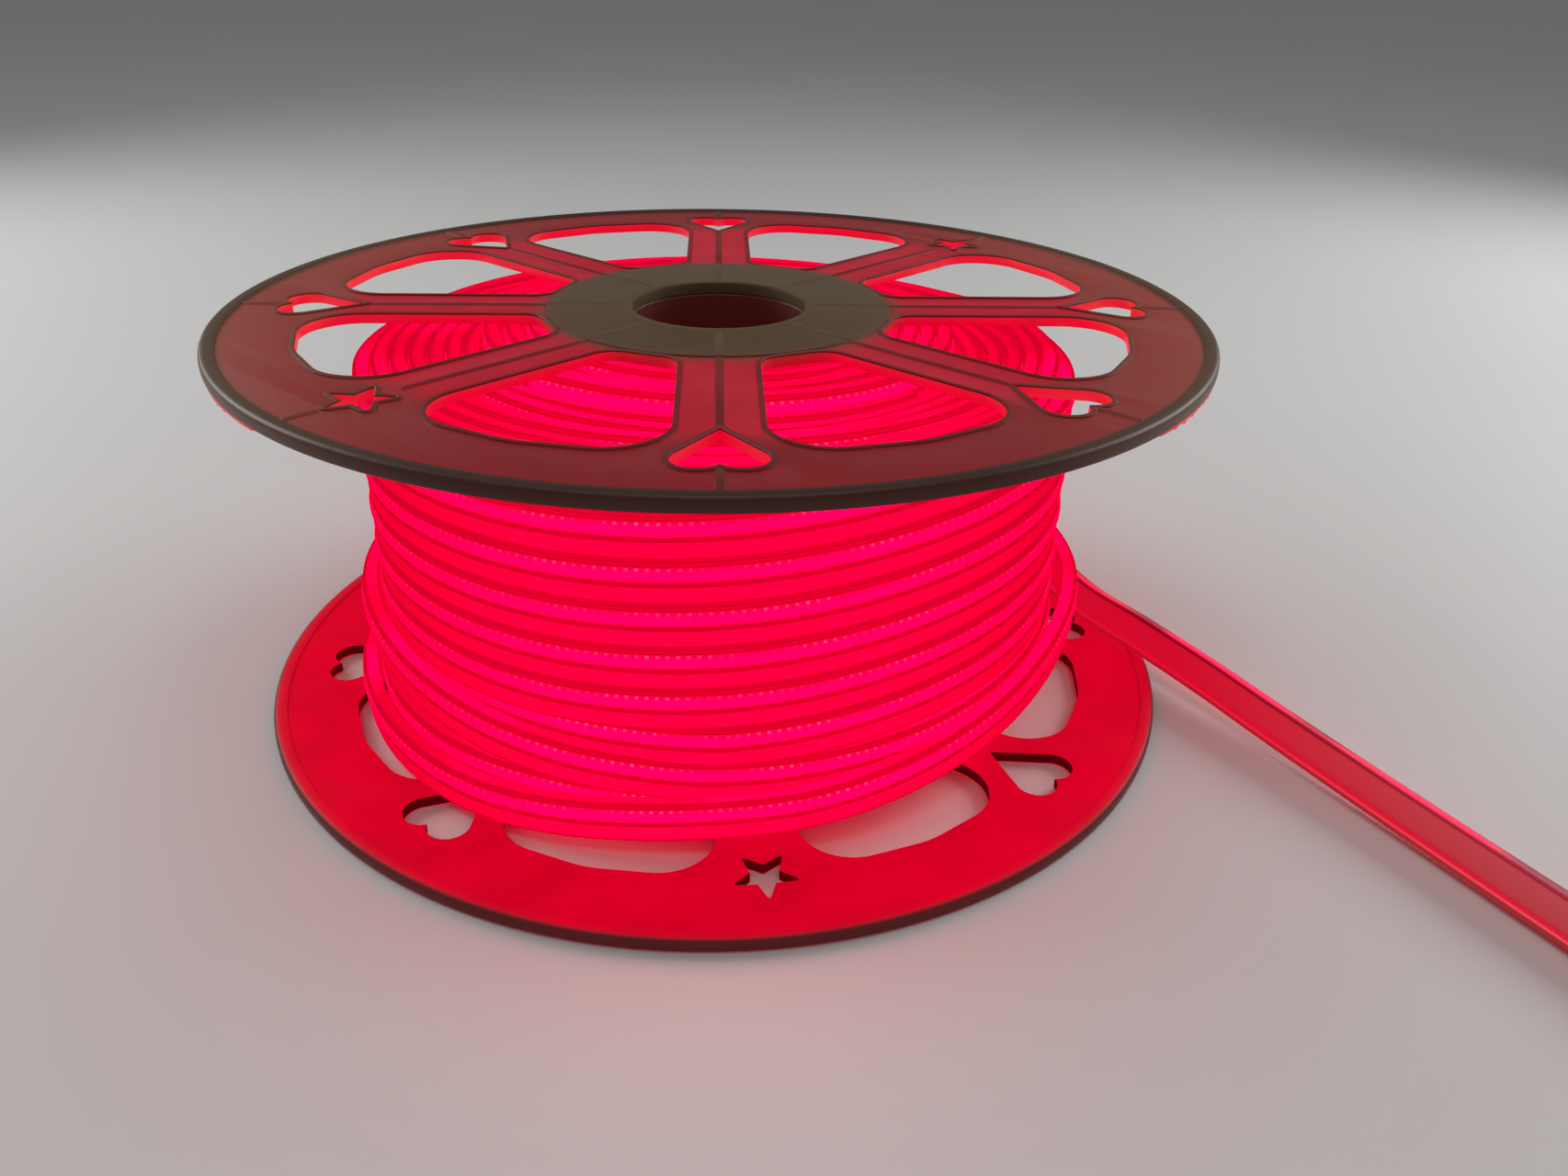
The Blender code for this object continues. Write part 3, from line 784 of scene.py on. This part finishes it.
def star_outline(grow):
    """Five-pointed star on the X axis, its points rounded more as it grows."""
    k = np.arange(10)
    radius = np.where(k % 2 == 0, STAR_RADIUS, STAR_RADIUS * STAR_WAIST)
    angle = math.tau * k / 10
    corners = np.stack([STAR_CENTRE + radius * np.cos(angle), radius * np.sin(angle)], axis=1)
    radii = np.where(k % 2 == 0, 0.45 * MM + grow, 0.3 * MM)
    return rounded(grown(corners, grow), radii, 6)


def openings(grow):
    """Outlines of all the openings in a flange, each grown by the same distance."""
    pitch = math.tau / SPOKES
    outlines = []
    for k in range(SPOKES):
        outlines.append(turned_outline(window_outline(grow), (k + 0.5) * pitch))
        cut = star_outline if k in STAR_SPOKES else heart_outline
        outlines.append(turned_outline(cut(grow), k * pitch))
    return outlines


def circle_outline(radius, steps):
    """Circle about the reel's axis."""
    angle = np.linspace(0.0, math.tau, steps, endpoint=False)
    return np.stack([radius * np.cos(angle), radius * np.sin(angle)], axis=1)


def flange_plate(name, place, finish):
    """Web of a flange: a filled flat outline with its openings, thickened and with eased edges."""
    ease = 0.25 * MM
    curve = bpy.data.curves.new(name, "CURVE")
    curve.dimensions = "2D"
    curve.fill_mode = "BOTH"
    curve.extrude = FLANGE_WEB / 2 - ease
    curve.bevel_depth = ease
    curve.bevel_resolution = 1
    rims = [
        circle_outline(FLANGE_RADIUS - RIM_WIDTH / 2, 256),
        circle_outline(BORE_RADIUS + COLLAR_WIDTH / 2, 96),
    ]
    for outline in rims + openings(ease):
        spline = curve.splines.new("POLY")
        spline.points.add(len(outline) - 1)
        rows = np.column_stack([outline, np.zeros(len(outline)), np.ones(len(outline))])
        spline.points.foreach_set("co", rows.ravel())
        spline.use_cyclic_u = True
    drawing = bpy.data.objects.new(name + "_drawing", curve)
    bpy.context.scene.collection.objects.link(drawing)
    graph = bpy.context.evaluated_depsgraph_get()
    mesh = bpy.data.meshes.new_from_object(drawing.evaluated_get(graph))
    bpy.data.objects.remove(drawing)
    lift = Matrix.Translation((0.0, 0.0, WEB_RECESS + FLANGE_WEB / 2))
    mesh.transform(place @ lift)
    mesh.name = name
    mesh.materials.clear()
    mesh.materials.append(finish)
    mesh.shade_smooth()
    mesh.set_sharp_from_angle(angle=math.radians(30.0))
    piece = bpy.data.objects.new(name, mesh)
    bpy.context.scene.collection.objects.link(piece)
    weld = piece.modifiers.new("Weld", "WELD")
    weld.merge_threshold = 0.00001
    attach(piece, "root")
    return piece


def flange_lips(name, place, finish):
    """Raised lip round every opening: a low rounded section carried along the opening's edge."""
    base = WEB_RECESS + 0.15 * MM
    top = WEB_RECESS - LIP_HEIGHT
    section = (
        (0.05 * MM, base), (0.05 * MM, top + 0.2 * MM), (0.3 * MM, top), (LIP_WIDTH - 0.5 * MM, top),
        (LIP_WIDTH - 0.15 * MM, top + 0.15 * MM), (LIP_WIDTH, base),
    )
    rings = [openings(grow) for grow, _ in section]
    points, faces, start = [], [], 0
    for same in zip(*rings):
        flat = np.stack(same, axis=1)
        height = np.broadcast_to([[z] for _, z in section], (*flat.shape[:2], 1))
        grid = np.concatenate([flat, height], axis=-1)
        quads, _ = grid_faces(*grid.shape[:2], True, True, start)
        faces += [tuple(q) for q in quads.tolist()]
        points.append(grid.reshape(-1, 3))
        start += grid.shape[0] * grid.shape[1]
    return mesh_piece(name, placed(np.vstack(points), place), faces, finish)


def flange_ribs(name, place, finish):
    """Thin rib along the middle of each spoke: hub disc, hub disc to the cut-out, cut-out to the rim."""
    half = RIB_WIDTH / 2
    t = np.linspace(0.0, math.pi, 7)
    arch = np.stack([half * np.cos(t), np.sin(t)], axis=1)
    collar = BORE_RADIUS + COLLAR_WIDTH
    rim = FLANGE_RADIUS - RIM_WIDTH
    grids = []
    for k in range(SPOKES):
        if k in STAR_SPOKES:
            inside, outside = STAR_CENTRE - STAR_RADIUS, STAR_CENTRE + STAR_RADIUS
        else:
            inside = HEART_CENTRE - HEART_LENGTH / 2
            middle = HEART_WIDTH / 2 - HEART_LOBE
            notch = math.sqrt((HEART_LOBE + LIP_WIDTH) ** 2 - middle ** 2) - LIP_WIDTH
            outside = HEART_CENTRE + HEART_LENGTH / 2 - HEART_LOBE + notch
        spans = [
            (collar + 0.2 * MM, HUB_DISC_RADIUS - 0.4 * MM, HUB_DISC_RECESS, 0.17 * MM),
            (HUB_DISC_RADIUS - 0.2 * MM, inside - LIP_WIDTH, WEB_RECESS, RIB_HEIGHT),
            (outside + LIP_WIDTH * 0.8, rim + 0.4 * MM, WEB_RECESS, RIB_HEIGHT),
        ]
        angle = k * math.tau / SPOKES
        out = np.array([math.cos(angle), math.sin(angle), 0.0])
        side = np.array([-out[1], out[0], 0.0])
        for near, far, face, rise in spans:
            radii = np.array([near, near + 0.6 * MM, far - 0.6 * MM, far])
            scale = np.array([0.25, 1.0, 1.0, 0.25])
            ring = np.vstack([arch, [(-half, -0.5), (half, -0.5)]])
            depth = face - ring[:, 1] * rise * scale[:, None]
            centre = radii[:, None, None] * out + ring[None, :, 0, None] * side
            grid = centre + depth[..., None] * np.array([0.0, 0.0, 1.0])
            grids.append(placed(grid.reshape(-1, 3), place).reshape(grid.shape))
    return tube_piece(name, grids, finish)


def bead_profile():
    """Rounded section of the flange's rim: an oval of a raised power, flatter above and below."""
    t = np.linspace(0.0, math.tau, 28, endpoint=False)
    power = 0.62
    x = np.sign(np.cos(t)) * np.abs(np.cos(t)) ** power * RIM_WIDTH / 2
    z = np.sign(np.sin(t)) * np.abs(np.sin(t)) ** power * RIM_HEIGHT / 2
    return np.stack([FLANGE_RADIUS - RIM_WIDTH / 2 + x, RIM_HEIGHT / 2 + z], axis=1)


def hub_profiles():
    """Section of the hub disc with its collar, from the bore outwards, edges eased."""
    low, top = HUB_DISC_RECESS, WEB_RECESS + FLANGE_WEB
    collar = BORE_RADIUS + COLLAR_WIDTH
    ease = 0.5 * MM
    return [[
        (BORE_RADIUS, top), (BORE_RADIUS, 0.9 * MM), (BORE_RADIUS + 0.15 * MM, 0.35 * MM),
        (BORE_RADIUS + 0.6 * MM, 0.0), (collar - 0.35 * MM, 0.0), (collar, 0.08 * MM),
        (collar + 0.2 * MM, low), (HUB_DISC_RADIUS - ease, low),
        (HUB_DISC_RADIUS - 0.1 * MM, low + 0.12 * MM), (HUB_DISC_RADIUS + 0.1 * MM, WEB_RECESS + 0.1 * MM),
        (HUB_DISC_RADIUS - ease, WEB_RECESS + 0.3 * MM), (collar, WEB_RECESS + 0.3 * MM), (collar, top),
    ]]


def moulding_flash(name, finish):
    """Thin ragged flash under the upper rim on the left and the right.

    Its depth is the root of half a sine over each stretch, times a sum of sines that don't match.
    """
    grids = []
    for start, end in FLASH_SPANS:
        angle = np.linspace(math.radians(start), math.radians(end), 150)
        t = np.linspace(0.0, 1.0, 150)
        teeth = np.abs(np.sin(97 * angle) + np.sin(61 * angle + 1.3) + 0.7 * np.sin(211 * angle)) / 2.7
        depth = FLASH_DEPTH * np.sin(math.pi * t) ** 0.5 * (0.25 + 0.75 * teeth)
        top = REEL_HEIGHT - RIM_HEIGHT + 0.3 * MM
        ring = []
        for out, low in ((0.9, 0.0), (0.55, 0.0), (0.55, 1.0), (0.9, 1.0)):
            ring.append(on_reel(angle, FLANGE_RADIUS - out * MM, top - low * (0.3 * MM + depth)))
        grids.append(np.stack(ring, axis=1))
    piece = tube_piece(name, grids, finish)
    return piece


def flange(side, upper, web, mouldings, rim, hub):
    """All the pieces of one flange; the CAD node is hidden once the plate is made."""
    place = flange_place(upper)
    node = side + "_flange"
    plate = flange_plate(side + "_plate", place, web)
    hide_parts(node)
    lips = flange_lips(side + "_lips", place, mouldings)
    ribs = flange_ribs(side + "_ribs", place, mouldings)
    bead = ring_piece(side + "_rim", [bead_profile()], 256, rim, place=place)
    disc = ring_piece(side + "_hub_disc", hub_profiles(), 160, hub, place=place)


def core_piece(finish):
    """Hub core: the sleeve round the bore and the barrel under the winding, as turned rings."""
    low, high = CORE_LOW, REEL_HEIGHT - CORE_LOW
    ease = 0.4 * MM
    profiles = []
    for inner, outer in (
        (BORE_RADIUS, BORE_RADIUS + SLEEVE_WALL),
        (CORE_RADIUS - CORE_WALL, CORE_RADIUS),
    ):
        profiles.append([
            (inner, low + ease), (inner, high - ease), (inner + ease, high), (outer - ease, high),
            (outer, high - ease), (outer, low + ease), (outer - ease, low), (inner + ease, low),
        ])
    piece = ring_piece("hub_tube", profiles, 128, finish)
    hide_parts("hub_core")
    return piece


def core_webs(finish):
    """Flat webs that join the hub's sleeve to its barrel."""
    near, far = BORE_RADIUS + SLEEVE_WALL - 0.3 * MM, CORE_RADIUS - CORE_WALL + 0.3 * MM
    half = CORE_WEB / 2
    grids = []
    corners = ((near, -half), (far, -half), (far, half), (near, half))
    for k in range(CORE_WEBS):
        angle = k * math.tau / CORE_WEBS
        out = np.array([math.cos(angle), math.sin(angle), 0.0])
        side = np.array([-out[1], out[0], 0.0])
        ring = np.array([along * out + aside * side for along, aside in corners])
        heights = np.array([CORE_LOW + MM, REEL_HEIGHT - CORE_LOW - MM])
        grids.append(ring[None] + heights[:, None, None] * np.array([0.0, 0.0, 1.0]))
    piece = tube_piece("hub_webs", grids, finish)
    return piece


def winding_body(finish):
    """Inner layers as one turned solid: rows of turns on its side, layer edges on its lower end.

    The edge of each row and layer is the raised power of half a sine wave.
    """
    inner, outer = CORE_RADIUS + 0.3 * MM, OUTER_LAYER - STRIP_THICKNESS - BODY_INSET
    low, high = CORE_LOW + 0.3 * MM, LOW_TURN - STRIP_WIDTH / 2
    step = FIRST_LAYER + (HIGH_LAYERS - 0.5) * LAYER
    rows, layers = 8, HIGH_LAYERS + LOW_LAYERS
    t = np.linspace(0.0, 1.0, rows * 8 + 1)
    side_r = outer - 1.0 * MM * (1 - np.abs(np.sin(math.pi * rows * t)) ** 0.6)
    side = np.stack([side_r, high + (low - high) * t], axis=1)
    u = np.linspace(0.0, 1.0, layers * 6 + 1)[1:]
    end_z = low + 0.9 * MM * (1 - np.abs(np.sin(math.pi * layers * u)) ** 0.6)
    end = np.stack([side_r[-1] + (inner - side_r[-1]) * u, end_z], axis=1)
    top = [(inner, HIGH_TURN), (step - 0.6 * MM, HIGH_TURN), (step - 0.6 * MM, high)]
    return ring_piece("strip_inner_layers", [np.vstack([top, side, end])], 128, finish)


def end_cap(finish):
    """Cap on the free end: a box with a raised-power oval section, eased ends and grip ridges."""
    tangent = unit((TAIL_ROUTE[-1] - TAIL_ROUTE[-2]) * (1, 1, 0))
    side = np.array([-tangent[1], tangent[0], 0.0])
    start = TAIL_ROUTE[-1] - tangent * 0.8 * MM
    mouth = [(0.0, 0.90), (0.25, 0.96), (0.8, 0.995), (1.6, 1.0)]
    groove = [(0.0, 1.0), (0.3, 0.94), (0.8, 0.94), (1.1, 1.0)]
    grip = [(5.0 + 1.9 * k + place, width) for k in range(3) for place, width in groove]
    tip = [(14.9, 0.99), (16.0, 0.95), (16.6, 0.86), (16.9, 0.70)]
    x, grow = np.array(mouth + grip + tip).T
    x = x * MM
    t = np.linspace(0.0, math.tau, 40, endpoint=False)
    oval_x = np.sign(np.cos(t)) * np.abs(np.cos(t)) ** 0.35 * 3.45 * MM
    oval_y = np.sign(np.sin(t)) * np.abs(np.sin(t)) ** 0.28 * 5.95 * MM
    centres = start + x[:, None] * tangent
    oval = oval_x[:, None] * side + oval_y[:, None] * np.array([0.0, 0.0, 1.0])
    grid = centres[:, None, :] + grow[:, None, None] * oval
    grid[..., 2] = np.maximum(grid[..., 2], 0.2 * MM)
    piece = tube_piece("end_cap_shell", [grid], finish)
    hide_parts("tail_end_cap")
    return piece


def camera():
    """Camera at the photograph's angle: yaw, pitch and roll from a fit to the two rims."""
    data = bpy.data.cameras.new("camera")
    data.lens = 28.595
    data.sensor_width = 36.0
    yaw, pitch, roll = (math.radians(v) for v in (3.291, 27.828, 1.192))
    look = Matrix.Rotation(-yaw, 4, "Z") @ Matrix.Rotation(math.pi / 2 - pitch, 4, "X")
    seat = Matrix.Translation((0.0, -0.37255, 0.2215))
    eye = bpy.data.objects.new("camera", data)
    eye.matrix_world = seat @ look @ Matrix.Rotation(roll, 4, "Z")
    bpy.context.scene.collection.objects.link(eye)
    bpy.context.scene.camera = eye


def lamp(name, place, target, size, power):
    """Soft oblong lamp that faces a target."""
    data = bpy.data.lights.new(name, "AREA")
    data.shape = "RECTANGLE"
    data.size, data.size_y = size
    data.energy = power
    obj = bpy.data.objects.new(name, data)
    away = Matrix.Translation(place).translation - Matrix.Translation(target).translation
    obj.rotation_euler = away.to_track_quat("Z", "Y").to_euler()
    obj.location = place
    bpy.context.scene.collection.objects.link(obj)


def studio():
    """Pale floor, a faint even sky and three soft lamps."""
    mesh = bpy.data.meshes.new("floor")
    reach = 9.0
    corners = [(-reach, -reach, 0), (reach, -reach, 0), (reach, reach, 0), (-reach, reach, 0)]
    mesh.from_pydata(corners, [], [(0, 1, 2, 3)])
    mesh.materials.append(floor_finish())
    floor = bpy.data.objects.new("floor", mesh)
    bpy.context.scene.collection.objects.link(floor)
    world = bpy.data.worlds.new("sky")
    world.use_nodes = True
    sky = world.node_tree.nodes["Background"]
    sky.inputs["Color"].default_value = rgb(1.0, 1.0, 1.0)
    sky.inputs["Strength"].default_value = 0.18
    bpy.context.scene.world = world
    lamp("lamp_left", (-0.95, 0.45, 0.55), (0, 0, 0.10), (0.7, 0.5), 5.0)
    lamp("lamp_right", (0.98, 0.42, 0.55), (0, 0, 0.10), (0.7, 0.5), 5.0)
    lamp("lamp_above", (0.0, -0.4, 1.9), (0, 0, 0.1), (1.6, 1.6), 9.0)
    bpy.context.scene.view_settings.view_transform = "Standard"


def build():
    """Make every piece and dress it."""
    camera()
    studio()

    tail_finish = lit_strip("lit_tail", FREE_END_LIGHT, fade=TAIL_FADE)
    centres = smooth_path(TAIL_ROUTE, 190)
    grid, run = ribbon(centres, LEAN)
    girth = np.append(GIRTH, 1.0)
    tail = tube_piece("strip_free_end", [grid], tail_finish, [run], girth)
    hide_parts("strip_tail")
    cap = end_cap(clear_cap("cap_plastic"))

    strip = lit_strip("lit_strip", STRIP_LIGHT)
    even, loose = outer_turns()
    even_grid, even_run = ribbon(even)
    loose_grid, loose_run = ribbon(loose)
    turns = tube_piece("strip_outer_turns", [even_grid], strip, [even_run], girth)
    loops = tube_piece("strip_last_turns", [loose_grid], strip, [loose_run], girth)
    high = layer_tops(FIRST_LAYER, HIGH_LAYERS, HIGH_TURN, 140.0)
    low = layer_tops(FIRST_LAYER + HIGH_LAYERS * LAYER, LOW_LAYERS, LOW_TURN, -45.0)
    back = loose_path(BACK_TURNS, 240)
    tops = [ribbon(path) for path in (high, low, back)]
    upper = tube_piece("strip_inner_turns", [t[0] for t in tops], strip, [t[1] for t in tops], girth)
    even_red = (0.27, 0.0, 0.009)
    plain = milky(
        "lit_layers", even_red, even_red, even_red, (0.02, 0.002, 0.002), wall=0.27, gloss=0.0,
    )
    body = winding_body(plain)
    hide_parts("strip_winding")
    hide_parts("strip_loose_turns")

    # Painted light on the upper flange: the strip's red glow, strongest near the winding and on cut walls,
    # weaker on the lips and faint on the rim; the lips' dark walls are painted shade.
    upper_web = milky(
        "milky_upper_web", (0.140, 0.0, 0.0050), (0.060, 0.0, 0.0020), (0.03, 0.0, 0.0005),
        (0.034, 0.004, 0.004), wall=0.30,
    )
    upper_lips = milky(
        "milky_upper_lips", (0.048, 0.0, 0.0012), (0.030, 0.0, 0.0008), (0.02, 0.0, 0.0),
        (0.030, 0.006, 0.005), wall=0.02,
    )
    upper_rim = milky(
        "milky_upper_rim", (0.014, 0.0, 0.0003), (0.010, 0.0, 0.0002), (0.004, 0.0, 0.0),
        (0.016, 0.007, 0.004), wall=0.006, gloss=0.35,
    )
    # Painted light on the lower flange: bright red where the winding's light falls on it, over a
    # near-black base; its cut walls are dark as painted shade, and so is the rim's outer side.
    dim = (0.003, 0.0, 0.0002)
    lower_web = milky(
        "milky_lower_web", (0.290, 0.0, 0.0080), (0.270, 0.0, 0.0071), (0.255, 0.0, 0.0068),
        dim, wall=0.030, gloss=0.01, bare=0.0,
    )
    lower_lips = milky(
        "milky_lower_lips", (0.280, 0.0, 0.0078), (0.260, 0.0, 0.0070), (0.24, 0.0, 0.0064),
        dim, wall=0.030, gloss=0.01, bare=0.0,
    )
    lower_rim = milky(
        "milky_lower_rim", (0.265, 0.0, 0.0070), (0.250, 0.0, 0.0066), (0.016, 0.0, 0.0005),
        (0.010, 0.0, 0.0005), wall=0.012, gloss=0.12, edge_base=(0.10, 0.03, 0.03),
        edge=(0.1434, 0.1448), bare=0.0,
    )
    unlit = (0.0, 0.0, 0.0)
    # Painted light: a faint red glow at the hub disc's outer edge, none elsewhere.
    hub = milky("milky_hub", (0.045, 0.0, 0.0014), unlit, unlit, (0.10, 0.05, 0.035), wall=0.0)
    flange("upper", True, upper_web, upper_lips, upper_rim, hub)
    flange("lower", False, lower_web, lower_lips, lower_rim, hub)
    # Painted light: the flash under the upper rim is painted bright red, as where the strip's light
    # reaches it from below.
    flash = milky(
        "milky_flash", (0.30, 0.0, 0.008), (0.28, 0.0, 0.008), (0.26, 0.0, 0.008),
        (0.05, 0.01, 0.01), wall=0.26,
    )
    moulding_flash("upper_flash", flash)
    tube = dark_tube("hub_plastic")
    core_piece(tube)
    core_webs(tube)


build()
